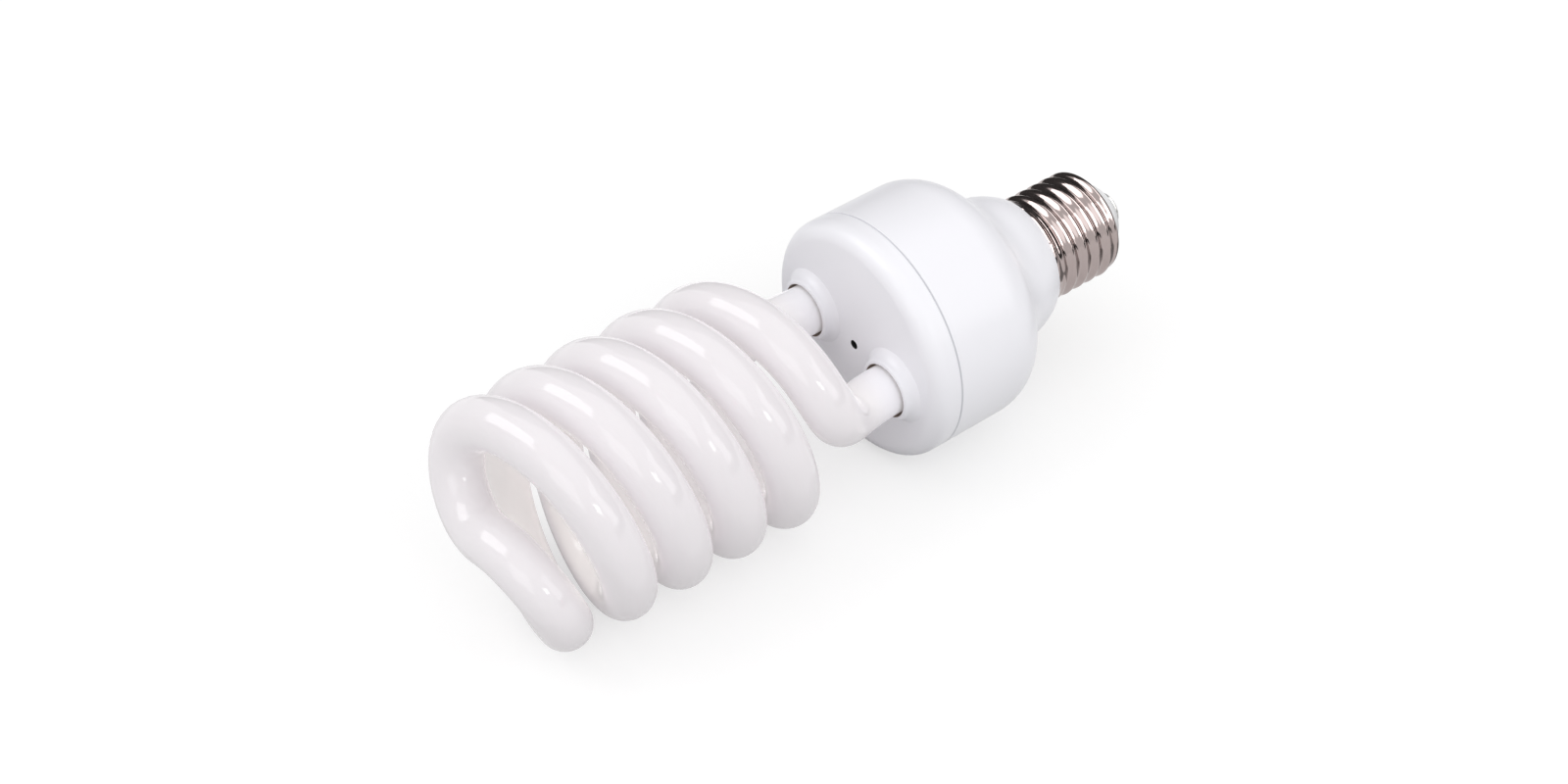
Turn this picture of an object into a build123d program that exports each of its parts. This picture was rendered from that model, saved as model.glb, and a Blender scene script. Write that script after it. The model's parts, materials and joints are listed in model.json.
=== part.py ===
from build123d import *
import os
from math import cos, pi, radians, sin

# Spiral compact fluorescent lamp for a photo studio, lying on its side.
# Millimetres. The lamp's axis runs along X with the screw cap at +X, and Z is up.
# Everything is drawn with the front plate of the housing at x = 0 on the axis,
# and moved at the end so that the lamp lies on z = 0 with its length centred on x = 0.

# Driving dimensions: the glass spiral
TUBE_D = 11.8          # outside of the glass tube
COIL_D = 58.4          # outside of the spiral, which is also the outside of the housing
PITCH = 28.6           # advance of one strand in one turn
COIL_TURNS = 2.21      # turns of one strand between its leg bend and the front bridge
COIL_START = 25.2      # from the front plate to the tube's centre where the coil starts
LEG_INSET = 14.8       # from the outside of the housing to a leg's centre
LEG_ANGLE = 97.0       # where the near leg stands, turned from straight up
LEG_BEND_TURN = 47.5   # angle about the axis that the bend into a leg takes up
LEG_STRAIGHT = 2.3     # straight leg in front of the plate
LEG_INSIDE = 8.0       # leg behind the plate's front face
BRIDGE_RISE = 8.4      # how far the front bridge stands ahead of the coil's end
BRIDGE_TURN = -85.7    # direction of the bridge across the axis, turned from the coil's end

# Driving dimensions: the housing
WALL = 2.0             # moulded wall
RIM_ROUND = 4.0        # rounding of the front plate's rim
HOLDER_L = 6.9         # from the front plate to the seam
SEAM_V = 0.3           # chamfer on each side of the seam
SPIGOT_L = 3.0         # lip of the holder inside the case
SPIGOT_T = 1.6
COLLAR_H = 2.9         # raised collar round each leg
COLLAR_RIM = 1.2       # flat top of the collar
COLLAR_FOOT = 3.6      # width of the collar where it meets the plate
VENT_D = 2.2
BARREL_L = 24.0        # from the front plate to the start of the shoulder
SHOULDER_X = 33.6      # where the shoulder turns into the hollow below the neck
SHOULDER_R = 23.7
CREASE_X = 42.0        # crease between shoulder and neck
CREASE_R = 17.9
NECK_X = 48.9          # end of the neck, where the cap starts
NECK_R = 14.9
NECK_BULGE = 0.45
PLUG_L = 6.0           # plug of the neck inside the cap

# Driving dimensions: the Edison screw cap, size 27
THREAD_R = 13.2        # over the crests of the thread
SKIRT_R = 13.8
SKIRT_L = 2.4
CAP_BORE_R = 11.5
SHELL_L = 21.4         # from the neck to the end of the shell
SHELL_ROUND = 2.0
SHELL_LIP = 0.8        # turned-in end of the shell that holds the insulator
INSULATOR_R = 10.4     # insulator where it leaves the shell
FLANGE_T = 2.0         # flange of the insulator inside the shell
CAP_L = 29.4           # from the neck to the tip of the contact
CONTACT_R = 4.7
CONTACT_T = 1.7

# Driving dimensions: the ballast
BOARD_T = 1.6
LEDGE = 1.4            # step in the case that clamps the board on the holder's lip
LEAD_D = 1.0
PIN_D = 0.6
PIN_SPREAD = 2.2       # of a filament's two wires from the leg's centre
CEMENT_T = 2.0         # bead of cement round a leg
CEMENT_L = 3.0
BOBBIN_H = 12.0        # choke: bobbin over the board, and its ferrite core
FLANGE = 0.8
CORE_T = 5.0
CORE_W = 15.6
CORE_H = 16.0
CORE_LEG = 4.4
CAN_D = 11.0           # smoothing capacitor
CAN_L = 16.0
TOROID_D = 9.0         # drive transformer
TOROID_HOLE = 4.6
TOROID_T = 4.5
TRANSISTOR_H = 11.0
TRANSISTOR_W = 8.0
TRANSISTOR_T = 3.0
TANK_H = 11.0          # film capacitor across the tube
TANK_W = 12.0
TANK_T = 5.0
COUPLING_H = 9.0       # film capacitor in series with the choke
COUPLING_W = 10.0
COUPLING_T = 4.0
DIODE_H = 5.2
DIODE_D = 2.7
FUSE_H = 9.0
FUSE_D = 3.4

# Places on the board: share of its radius, and angle turned from straight up.
# The heavy choke and capacitor are low, so that the lamp lies still on its side.
CHOKE_AT = (0.483, 160)
CAN_AT = (0.576, 245)
TOROID_AT = (0.372, 50)
TRANSISTOR_AT = (0.558, 318)
TRANSISTOR_FAN = 22              # each transistor's angle to either side
TANK_AT = (0.706, 25)
COUPLING_AT = (0.743, 80)
DIODE_AT = (0.818, 268)
DIODE_STEP = 8
FUSE_AT = (0.762, 203)
NEUTRAL_AT = (0.223, 0)

# Clearances
LEG_GAP = 0.6          # between a leg and its collar
SLIDE = 0.1            # between plug and bore
EDGE = 0.4             # between the board's edge and the case

# Sizes that follow from these
tube_r = TUBE_D / 2
house_r = COIL_D / 2
coil_r = house_r - tube_r
leg_r = house_r - LEG_INSET
bend_start = LEG_ANGLE - LEG_BEND_TURN
coil_end = bend_start - 360 * COIL_TURNS
coil_end_x = -COIL_START - PITCH * COIL_TURNS
front_x = coil_end_x - BRIDGE_RISE
board_x = HOLDER_L + SPIGOT_L
back_x = board_x + BOARD_T
case_r = house_r - WALL
board_r = case_r - EDGE
plug_r = CAP_BORE_R - SLIDE
neck_bore_r = plug_r - WALL
shell_end = NECK_X + SHELL_L
tip_x = NECK_X + CAP_L
contact_x = tip_x - CONTACT_T
lead_r = LEAD_D / 2
seat_on_floor = Pos(-(front_x - tube_r + tip_x) / 2, 0, house_r)


def polar(x, r, turn):
    """Point at radius r about the lamp's axis, turned from straight up."""
    return Vector(x, -r * sin(radians(turn)), r * cos(radians(turn)))


def turned(*edges):
    """Solid turned about the lamp's axis from a closed outline drawn as (x, r)."""
    return revolve(make_face(edges), Axis.X)


def rod(start, end, radius):
    """Round rod between two points."""
    run = Vector(*end) - Vector(*start)
    return Solid.make_cylinder(radius, run.length, Plane(origin=start, z_dir=run))


def curve_between(start, start_run, end, end_run):
    """Smooth curve between two points, leaving and arriving along the given runs."""
    return Bezier(start, start + start_run / 3, end - end_run / 3, end)


def half_turn(shape):
    """The same shape on the other side of the lamp's axis."""
    return shape.rotate(Axis.X, 180)


# Glass tube: two strands of one right-handed double helix, joined by a bridge in front
def coil_direction(turn):
    return (Vector(PITCH / (2 * pi), 0, 0) + polar(0, coil_r, turn + 90)).normalized()


def strand_path():
    """Edges of one strand, from the middle of the bridge to the end of its leg."""
    coil = Helix(PITCH, PITCH * COIL_TURNS, coil_r, center=(coil_end_x, 0, 0), direction=(1, 0, 0))
    coil = coil.rotate(Axis.X, coil_end)
    first, last = coil_direction(coil_end), coil_direction(bend_start)
    across = polar(0, 1.9 * coil_r, coil_end + BRIDGE_TURN)
    bridge = curve_between(Vector(front_x, 0, 0), across, coil @ 0, first * (2.37 * coil_r))
    leg_top = polar(-LEG_STRAIGHT, leg_r, LEG_ANGLE)
    bend_l = COIL_START - LEG_STRAIGHT
    bend = curve_between(coil @ 1, last * (1.8 * bend_l), leg_top, Vector(2.1 * bend_l, 0, 0))
    return [bridge, coil, bend, Line(leg_top, polar(LEG_INSIDE, leg_r, LEG_ANGLE))]


def tube_along(edge):
    start = Plane(origin=edge @ 0, z_dir=edge % 0)
    return sweep(start * Circle(tube_r), path=edge)


bridge_half, coil, bend, leg = [tube_along(edge) for edge in strand_path()]
strand = bridge_half + coil + bend + leg
spiral_tube = strand + half_turn(strand)

# Front half of the housing: plate, rounded rim, collars for the legs, vent and lip
lip_r = case_r - SLIDE
holder_shell = turned(
    Polyline((0, 0), (0, house_r - RIM_ROUND)),
    RadiusArc((0, house_r - RIM_ROUND), (RIM_ROUND, house_r), RIM_ROUND),
    Polyline((RIM_ROUND, house_r), (HOLDER_L - SEAM_V, house_r), (HOLDER_L, house_r - SEAM_V),
             (HOLDER_L, lip_r), (board_x, lip_r), (board_x, lip_r - SPIGOT_T),
             (WALL + 1, lip_r - SPIGOT_T), (WALL, lip_r - SPIGOT_T - 1), (WALL, 0), (0, 0)),
)
leg_hole_r = tube_r + LEG_GAP
collar_rim_r = leg_hole_r + COLLAR_RIM
collar_foot_r = leg_hole_r + COLLAR_FOOT
collar = turned(
    Polyline((WALL, 0), (-COLLAR_H, 0), (-COLLAR_H, collar_rim_r)),
    TangentArc((-COLLAR_H, collar_rim_r), (0, collar_foot_r), tangent=(0, 1)),
    Polyline((0, collar_foot_r), (WALL, collar_foot_r), (WALL, 0)),
)
leg_hole = rod((-2 * COLLAR_H, 0, 0), (2 * WALL, 0, 0), leg_hole_r)
to_leg = [Pos(*polar(0, leg_r, LEG_ANGLE + side)) for side in (0, 180)]
tube_holder = holder_shell
for place in to_leg:
    tube_holder += place * collar
for place in to_leg:
    tube_holder -= place * leg_hole
tube_holder -= rod((-1, 0, 0), (WALL + 1, 0, 0), VENT_D / 2)

# Rear half of the housing: barrel, shoulder, neck and the plug that the cap is pressed on
neck_middle = ((CREASE_X + NECK_X) / 2, (CREASE_R + NECK_R) / 2 + NECK_BULGE)
shoulder = TangentArc((BARREL_L, house_r), (SHOULDER_X, SHOULDER_R), tangent=(1, 0))
hollow = TangentArc(shoulder @ 1, (CREASE_X, CREASE_R), tangent=shoulder % 1)
inner_r = case_r - LEDGE
skin = (shoulder % 1).rotate(Axis.Z, -90) * WALL
inside_shoulder = TangentArc((BARREL_L, inner_r), shoulder @ 1 + skin, tangent=(1, 0))
inside_hollow = TangentArc(inside_shoulder @ 1, (CREASE_X - WALL / 4, CREASE_R - WALL),
                           tangent=inside_shoulder % 1)
ballast_case = turned(
    Polyline((HOLDER_L, case_r), (HOLDER_L, house_r - SEAM_V), (HOLDER_L + SEAM_V, house_r),
             (BARREL_L, house_r)),
    shoulder,
    hollow,
    ThreePointArc((CREASE_X, CREASE_R), neck_middle, (NECK_X, NECK_R)),
    Polyline((NECK_X, NECK_R), (NECK_X, plug_r), (NECK_X + PLUG_L, plug_r),
             (NECK_X + PLUG_L, neck_bore_r), (NECK_X - WALL, neck_bore_r),
             (NECK_X - WALL, NECK_R - WALL), inside_hollow @ 1),
    inside_hollow,
    inside_shoulder,
    Polyline((BARREL_L, inner_r), (back_x, inner_r), (back_x, case_r), (HOLDER_L, case_r)),
)

# Screw cap: shell over the thread's crests, insulator and centre contact
lip_x = shell_end - SHELL_LIP
hole_r = INSULATOR_R + SLIDE
screw_cap = turned(
    Polyline((NECK_X, CAP_BORE_R), (NECK_X, SKIRT_R), (NECK_X + SKIRT_L / 2, SKIRT_R),
             (NECK_X + SKIRT_L, THREAD_R), (shell_end - SHELL_ROUND, THREAD_R)),
    RadiusArc((shell_end - SHELL_ROUND, THREAD_R), (shell_end, THREAD_R - SHELL_ROUND), SHELL_ROUND),
    Polyline((shell_end, THREAD_R - SHELL_ROUND), (shell_end, hole_r), (lip_x, hole_r),
             (lip_x, CAP_BORE_R), (NECK_X, CAP_BORE_R)),
)
lead_hole_r = lead_r + SLIDE
cap_insulator = turned(
    Polyline((lip_x - FLANGE_T, lead_hole_r), (lip_x - FLANGE_T, CAP_BORE_R - SLIDE),
             (lip_x, CAP_BORE_R - SLIDE), (lip_x, INSULATOR_R), (shell_end, INSULATOR_R)),
    TangentArc((shell_end, INSULATOR_R), (contact_x, CONTACT_R), tangent=(1, -0.4)),
    Polyline((contact_x, CONTACT_R), (contact_x, lead_hole_r), (lip_x - FLANGE_T, lead_hole_r)),
)
button_rim = (contact_x + CONTACT_T / 3, CONTACT_R)
button_top = (tip_x, CONTACT_R / 2)
centre_contact = turned(
    Polyline((contact_x, 0), (contact_x, CONTACT_R), button_rim),
    TangentArc(button_top, button_rim, tangent=(0, 1)),
    Polyline(button_top, (tip_x, 0), (contact_x, 0)),
)

# Ballast on its round board, clamped between the holder's lip and the case's ledge
circuit_board = rod((board_x, 0, 0), (back_x, 0, 0), board_r)


def stand(shape, share, turn):
    """Stands a shape, drawn on the plane x = 0, on the back of the board at a place round the axis."""
    return Rot(turn, 0, 0) * Pos(back_x, 0, share * board_r) * shape


def upright(height, width, thickness):
    """Box standing on x = 0, with its width round the axis."""
    return Box(height, width, thickness, align=(Align.MIN, Align.CENTER, Align.CENTER))


def upright_rod(length, diameter):
    return rod((0, 0, 0), (length, 0, 0), diameter / 2)


# Choke: ferrite core with a middle leg, through a bobbin that carries the winding
spool_x = BOBBIN_H / 2
middle_leg = Box(CORE_T, CORE_W, CORE_LEG)
core_frame = Box(CORE_T, CORE_W, CORE_H) - Box(CORE_T, CORE_W - 2 * CORE_LEG / 2, CORE_H - CORE_LEG)
flange_y = CORE_W / 2 - CORE_LEG / 2 - FLANGE
spool_size = CORE_LEG + 2 * SLIDE + 2 * FLANGE
spool = Box(CORE_T + 2 * SLIDE + 2 * FLANGE, 2 * flange_y, spool_size)
flange_box = Box(BOBBIN_H, FLANGE, CORE_H - CORE_LEG - 2 * SLIDE)
flanges = Pos(0, flange_y - FLANGE / 2, 0) * flange_box + Pos(0, FLANGE / 2 - flange_y, 0) * flange_box
spool_hole = Box(CORE_T + 2 * SLIDE, CORE_W, CORE_LEG + 2 * SLIDE)
winding_l = 2 * (flange_y - FLANGE)
winding_body = Rot(90, 0, 0) * Cylinder(BOBBIN_H / 2 - FLANGE, winding_l)
choke_place = Rot(CHOKE_AT[1], 0, 0) * Pos(back_x + spool_x, 0, CHOKE_AT[0] * board_r)
choke_core = choke_place * (core_frame + middle_leg)
choke_bobbin = choke_place * (spool + flanges - spool_hole)
choke_winding = choke_place * (winding_body - spool)

# Other parts of the ballast, each standing on the board
can = upright_rod(CAN_L, CAN_D)
smoothing_capacitor = stand(fillet(can.edges().sort_by(Axis.X)[-1], CAN_D / 10), *CAN_AT)
ring = upright_rod(TOROID_T, TOROID_D) - upright_rod(TOROID_T, TOROID_HOLE)
drive_toroid = stand(fillet(ring.edges().filter_by(GeomType.CIRCLE), TOROID_T / 8), *TOROID_AT)
transistor = upright(TRANSISTOR_H, TRANSISTOR_W, TRANSISTOR_T)
transistor_a = stand(transistor, TRANSISTOR_AT[0], TRANSISTOR_AT[1] - TRANSISTOR_FAN)
transistor_b = stand(transistor, TRANSISTOR_AT[0], TRANSISTOR_AT[1] + TRANSISTOR_FAN)
tank_block = upright(TANK_H, TANK_W, TANK_T)
tank_capacitor = stand(fillet(tank_block.edges().filter_by(Axis.X), TANK_T / 4), *TANK_AT)
coupling_block = upright(COUPLING_H, COUPLING_W, COUPLING_T)
coupling_capacitor = stand(fillet(coupling_block.edges().filter_by(Axis.X), COUPLING_T / 4),
                           *COUPLING_AT)
diode = upright_rod(DIODE_H, DIODE_D)
rectifier_diodes = Compound([stand(diode, DIODE_AT[0], DIODE_AT[1] + DIODE_STEP * i)
                             for i in range(4)])
fuse_resistor = stand(upright_rod(FUSE_H, FUSE_D), *FUSE_AT)

# Wires: filaments to the board, live to the contact, neutral to the cap's shell
filament_leads = Compound([
    place * rod((LEG_INSIDE, 0, side), (board_x, 0, side), PIN_D / 2)
    for place in to_leg for side in (-PIN_SPREAD, PIN_SPREAD)
])
live_lead = rod((back_x, 0, 0), (contact_x, 0, 0), lead_r)
bend_x = NECK_X + PLUG_L + 3 * LEAD_D
neutral_r = NEUTRAL_AT[0] * board_r
neutral_path = FilletPolyline(polar(back_x, neutral_r, NEUTRAL_AT[1]),
                              polar(bend_x, neutral_r, NEUTRAL_AT[1]),
                              polar(bend_x, CAP_BORE_R, NEUTRAL_AT[1]), radius=2 * LEAD_D)
neutral_start = Plane(origin=neutral_path @ 0, z_dir=neutral_path % 0)
neutral_lead = sweep(neutral_start * Circle(lead_r), path=neutral_path)

# Cement that holds the legs behind the plate
bead = (rod((WALL, 0, 0), (WALL + CEMENT_L, 0, 0), tube_r + CEMENT_T)
        - rod((WALL, 0, 0), (WALL + CEMENT_L, 0, 0), tube_r))
leg_cement = Compound([place * bead for place in to_leg])

pieces = {
    "spiral_tube": spiral_tube,
    "tube_holder": tube_holder,
    "ballast_case": ballast_case,
    "screw_cap": screw_cap,
    "cap_insulator": cap_insulator,
    "centre_contact": centre_contact,
    "leg_cement": leg_cement,
    "filament_leads": filament_leads,
    "circuit_board": circuit_board,
    "choke_core": choke_core,
    "choke_bobbin": choke_bobbin,
    "choke_winding": choke_winding,
    "smoothing_capacitor": smoothing_capacitor,
    "drive_toroid": drive_toroid,
    "transistor_a": transistor_a,
    "transistor_b": transistor_b,
    "tank_capacitor": tank_capacitor,
    "coupling_capacitor": coupling_capacitor,
    "rectifier_diodes": rectifier_diodes,
    "fuse_resistor": fuse_resistor,
    "live_lead": live_lead,
    "neutral_lead": neutral_lead,
}

os.makedirs("parts", exist_ok=True)
for name, shape in pieces.items():
    export_step(seat_on_floor * shape, f"parts/{name}.step")
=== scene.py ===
import json
from math import atan2, cos, exp, pi, radians, sin, tan

import bpy
from bpy.props import FloatProperty, FloatVectorProperty, IntProperty, PointerProperty
from mathutils import Matrix, Vector

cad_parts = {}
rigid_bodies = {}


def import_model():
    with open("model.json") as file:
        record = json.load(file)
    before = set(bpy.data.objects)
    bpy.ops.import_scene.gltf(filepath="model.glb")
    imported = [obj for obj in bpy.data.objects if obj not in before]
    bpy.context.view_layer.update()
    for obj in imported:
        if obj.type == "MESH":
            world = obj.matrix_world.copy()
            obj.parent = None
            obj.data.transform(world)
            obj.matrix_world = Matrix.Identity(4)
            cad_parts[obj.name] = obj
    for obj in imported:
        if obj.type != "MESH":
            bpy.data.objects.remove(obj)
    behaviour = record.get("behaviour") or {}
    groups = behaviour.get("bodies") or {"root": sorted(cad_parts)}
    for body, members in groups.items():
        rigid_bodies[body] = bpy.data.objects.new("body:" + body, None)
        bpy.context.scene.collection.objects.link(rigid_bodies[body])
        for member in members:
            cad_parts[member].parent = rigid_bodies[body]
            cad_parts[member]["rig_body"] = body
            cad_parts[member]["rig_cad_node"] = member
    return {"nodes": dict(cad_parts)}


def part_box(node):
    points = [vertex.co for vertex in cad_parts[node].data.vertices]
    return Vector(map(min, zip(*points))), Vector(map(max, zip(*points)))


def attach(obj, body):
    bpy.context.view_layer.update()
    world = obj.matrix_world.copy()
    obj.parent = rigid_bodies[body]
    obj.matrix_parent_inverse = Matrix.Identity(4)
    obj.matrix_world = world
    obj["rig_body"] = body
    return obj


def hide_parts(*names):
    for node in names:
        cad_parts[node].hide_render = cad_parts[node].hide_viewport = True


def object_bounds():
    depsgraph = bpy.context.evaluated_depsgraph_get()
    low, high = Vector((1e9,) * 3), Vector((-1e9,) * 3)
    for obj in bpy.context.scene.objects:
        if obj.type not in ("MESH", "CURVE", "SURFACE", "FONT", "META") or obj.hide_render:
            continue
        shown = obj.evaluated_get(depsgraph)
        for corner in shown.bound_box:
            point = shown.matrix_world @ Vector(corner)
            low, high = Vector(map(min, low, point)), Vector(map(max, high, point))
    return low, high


bl_info = {
    "name": "Spiral studio lamp",
    "version": (1, 0, 0),
    "blender": (4, 5, 0),
    "location": "View3D > Sidebar > Lamp",
    "description": "Dresses the packed spiral lamp: glass, housing, threaded cap, ballast and studio",
    "category": "Add Mesh",
}

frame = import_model()
CAD_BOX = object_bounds()

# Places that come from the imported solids, in metres
HOLDER_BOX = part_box("tube_holder")
SHELL_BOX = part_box("screw_cap")
SEAM_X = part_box("ballast_case")[0].x
AXIS_Z = (HOLDER_BOX[0].z + HOLDER_BOX[1].z) / 2
HOUSING_R = (HOLDER_BOX[1].z - HOLDER_BOX[0].z) / 2

# Points this close are merged, and points this close to a face count as on it, in metres
MERGE = 1e-6
TOUCH = 1e-5


# Sizes and colours that a user may change
class TubeSettings(bpy.types.PropertyGroup):
    """Sizes of the glass spiral."""

    diameter: FloatProperty(
        name="Tube diameter", description="Outside of the glass tube", default=0.0118, unit="LENGTH")
    pitch: FloatProperty(
        name="Pitch", description="Advance of one strand in one turn", default=0.0286, unit="LENGTH")
    turns: FloatProperty(
        name="Turns", description="Turns of one strand between leg bend and bridge", default=2.21)
    collar: FloatProperty(
        name="Collar height", description="Height of a leg's collar on the front plate",
        default=0.0029, unit="LENGTH")
    coil_start: FloatProperty(
        name="Coil start", description="From the front plate to the start of the coil",
        default=0.0252, unit="LENGTH")
    leg_inset: FloatProperty(
        name="Leg inset", description="From the outside of the housing to a leg's centre",
        default=0.0148, unit="LENGTH")
    leg_angle: FloatProperty(
        name="Leg angle", description="Where the near leg stands, turned from straight up",
        default=radians(97), subtype="ANGLE", unit="ROTATION")
    bend_turn: FloatProperty(
        name="Leg bend turn", description="Angle about the axis that the bend into a leg takes up",
        default=radians(47.5), subtype="ANGLE", unit="ROTATION")
    leg_straight: FloatProperty(
        name="Straight leg", description="Straight leg in front of the plate",
        default=0.0023, unit="LENGTH")
    leg_gap: FloatProperty(
        name="Leg gap", description="Between a leg and its collar", default=0.0006, unit="LENGTH")
    leg_inside: FloatProperty(
        name="Leg inside", description="Leg behind the plate's front face",
        default=0.008, unit="LENGTH")
    bridge_rise: FloatProperty(
        name="Bridge rise", description="How far the front bridge stands ahead of the coil's end",
        default=0.0084, unit="LENGTH")
    bridge_turn: FloatProperty(
        name="Bridge turn", description="Direction of the bridge across the axis, from the coil's end",
        default=radians(-85.7), subtype="ANGLE", unit="ROTATION")


class HousingSettings(bpy.types.PropertyGroup):
    """Shape of the collars that the legs stand in, and the lines drawn on the housing."""

    lip: FloatProperty(
        name="Collar lip", description="Flat top of a collar", default=0.0005, unit="LENGTH")
    rounding: FloatProperty(
        name="Collar rounding", description="Rounded edge of a collar's top",
        default=0.0005, unit="LENGTH")
    flare: FloatProperty(
        name="Collar flare", description="How far a collar widens down to the plate",
        default=0.0017, unit="LENGTH")
    seam: FloatProperty(
        name="Seam", description="Width of the grey line between the two halves",
        default=0.00044, unit="LENGTH")
    # Painted shade: radius of the dark painted into the vent hole, where the hole lies in shade
    vent: FloatProperty(
        name="Vent radius", description="Dark of the vent hole in the front plate",
        default=0.00113, unit="LENGTH")


class ShellSettings(bpy.types.PropertyGroup):
    """Sizes of the threaded shell of the cap."""

    crest_r: FloatProperty(
        name="Crest radius", description="Over the crests of the thread", default=0.0132, unit="LENGTH")
    root_r: FloatProperty(
        name="Root radius", description="In the roots of the thread", default=0.01213, unit="LENGTH")
    pitch: FloatProperty(
        name="Thread pitch", description="Seven turns to the inch", default=0.0254 / 7, unit="LENGTH")
    skirt_r: FloatProperty(
        name="Skirt radius", description="Plain skirt next to the neck", default=0.0138, unit="LENGTH")
    skirt_l: FloatProperty(
        name="Skirt length", description="Plain skirt next to the neck", default=0.0024, unit="LENGTH")
    end_round: FloatProperty(
        name="End rounding", description="Rounding of the shell's end", default=0.002, unit="LENGTH")
    hole_r: FloatProperty(
        name="End hole radius", description="Hole for the insulator", default=0.01052, unit="LENGTH")
    sheet: FloatProperty(
        name="Sheet", description="Thickness of the rolled sheet", default=0.00035, unit="LENGTH")
    dimples: IntProperty(
        name="Dimples", description="Pressed dimples that hold the skirt on the neck", default=8)
    dimple_r: FloatProperty(
        name="Dimple radius", description="How far a dimple spreads", default=0.00055, unit="LENGTH")
    dimple_depth: FloatProperty(
        name="Dimple depth", description="Depth of a pressed dimple", default=0.0003, unit="LENGTH")


class FinishSettings(bpy.types.PropertyGroup):
    """Colours of the lamp's surfaces."""

    glass: FloatVectorProperty(
        name="Coated glass", description="White coating seen through the glass",
        default=(0.68, 0.655, 0.675), subtype="COLOR", min=0, max=1)
    # Painted light: this paler colour lifts the shaded side of the spiral that faces the axis, in place of
    # light passing through the milky glass
    inside: FloatVectorProperty(
        name="Inside of the spiral", description="Coating on the side that faces the axis",
        default=(0.85, 0.83, 0.815), subtype="COLOR", min=0, max=1)
    # Partly painted light: the legs are painted paler to lift them out of the shade of the bands and the
    # housing; the bluer tint is their own tone
    legs: FloatVectorProperty(
        name="Legs", description="Coating on the legs near the plate",
        default=(0.8, 0.79, 0.83), subtype="COLOR", min=0, max=1)
    # Painted light: the coating of a lamp that is not lit gives off an even light, which lifts its shaded
    # sides and gaps in place of light carried round inside the milky glass
    glow: FloatVectorProperty(
        name="Glow", description="Light that the coating spreads inside the glass",
        default=(1, 0.96, 0.97), subtype="COLOR", min=0, max=1)
    glow_strength: FloatProperty(
        name="Glow strength", description="Brightness of the spread light", default=0.17)
    housing: FloatVectorProperty(
        name="Housing", description="Moulded white of the housing",
        default=(0.91, 0.905, 0.945), subtype="COLOR", min=0, max=1)
    seam: FloatVectorProperty(
        name="Seam", description="Line between the two halves of the housing",
        default=(0.66, 0.66, 0.7), subtype="COLOR", min=0, max=1)
    # Painted shade: colour painted into the vent hole for its shade
    vent: FloatVectorProperty(
        name="Vent", description="Dark of the vent hole",
        default=(0.03, 0.03, 0.03), subtype="COLOR", min=0, max=1)
    # Painted shade: dark brown painted on the walls of the leg holes, where the gap round a leg lies in
    # shade
    leg_hole: FloatVectorProperty(
        name="Leg hole", description="Wall of the hole round a leg",
        default=(0.22, 0.165, 0.13), subtype="COLOR", min=0, max=1)
    nickel: FloatVectorProperty(
        name="Nickel", description="Plated screw shell",
        default=(0.42, 0.355, 0.345), subtype="COLOR", min=0, max=1)
    tarnish: FloatVectorProperty(
        name="Tarnish", description="Streaks in the plating",
        default=(0.33, 0.275, 0.26), subtype="COLOR", min=0, max=1)
    insulator: FloatVectorProperty(
        name="Insulator", description="White end of the cap",
        default=(0.84, 0.84, 0.85), subtype="COLOR", min=0, max=1)


class StudioSettings(bpy.types.PropertyGroup):
    """Camera and light of the studio."""

    azimuth: FloatProperty(
        name="Camera azimuth", description="Direction that the camera stands in, from -Y",
        default=radians(-37.823), subtype="ANGLE", unit="ROTATION")
    elevation: FloatProperty(
        name="Camera elevation", description="Height of the camera above the horizon",
        default=radians(44.178), subtype="ANGLE", unit="ROTATION")
    distance: FloatProperty(
        name="Camera distance", description="Depth of the front plate's centre before the camera",
        default=0.52873, unit="LENGTH")
    lens: FloatProperty(
        name="Lens", description="Focal length on a 36 mm wide sensor, in millimetres", default=54.0)
    centre_u: FloatProperty(
        name="Plate centre across",
        description="Where the front plate's centre falls, as a share of the width",
        default=871.475 / 1600)
    centre_v: FloatProperty(
        name="Plate centre down",
        description="Where the front plate's centre falls, as a share of the height",
        default=351.565 / 800)
    sky: FloatProperty(
        name="Sky", description="Even light from all round", default=0.81)
    key: FloatProperty(
        name="Key light", description="Brightness of the softbox behind the spiral", default=0.9)
    shine: FloatProperty(
        name="Shine", description="Added brightness of the key light in reflections", default=1.7)
    top: FloatProperty(
        name="Top light", description="Brightness of the two panels that the metal mirrors", default=3.0)
    front: FloatProperty(
        name="Front light", description="Brightness of the small light in front", default=5.0)
    fill: FloatProperty(
        name="Fill light", description="Brightness of the two broad softboxes in front", default=1.1)


# Places on the lamp
def plate_x(tube):
    """Front face of the housing's plate, along the axis."""
    return HOLDER_BOX[0].x + tube.collar


def coil_front(tube):
    """Where the coil ends and the bridge begins, along the axis."""
    return plate_x(tube) - tube.coil_start - tube.pitch * tube.turns


def around(x, r, turn):
    """Point at radius r about the lamp's axis, turned from straight up."""
    return Vector((x, -r * sin(turn), AXIS_Z + r * cos(turn)))


def across(r, turn):
    """Vector of length r square to the lamp's axis, turned from straight up."""
    return Vector((0, -r * sin(turn), r * cos(turn)))


def half_turn(point):
    """The same point on the other side of the lamp's axis."""
    return Vector((point.x, -point.y, 2 * AXIS_Z - point.z))


def off_axis(point):
    """Vector from the lamp's axis straight out to a point."""
    return Vector((0, point.y, point.z - AXIS_Z))


def near_leg(tube, x=0):
    """Point on the centre line of the near leg."""
    return around(x, HOUSING_R - tube.leg_inset, tube.leg_angle)


def leg_hole_r(tube):
    """Radius of the hole that a leg stands in."""
    return tube.diameter / 2 + tube.leg_gap


def spaced(start, end, count):
    """Evenly spaced values up to end, without the start."""
    return [start + (end - start) * i / count for i in range(1, count + 1)]


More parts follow.
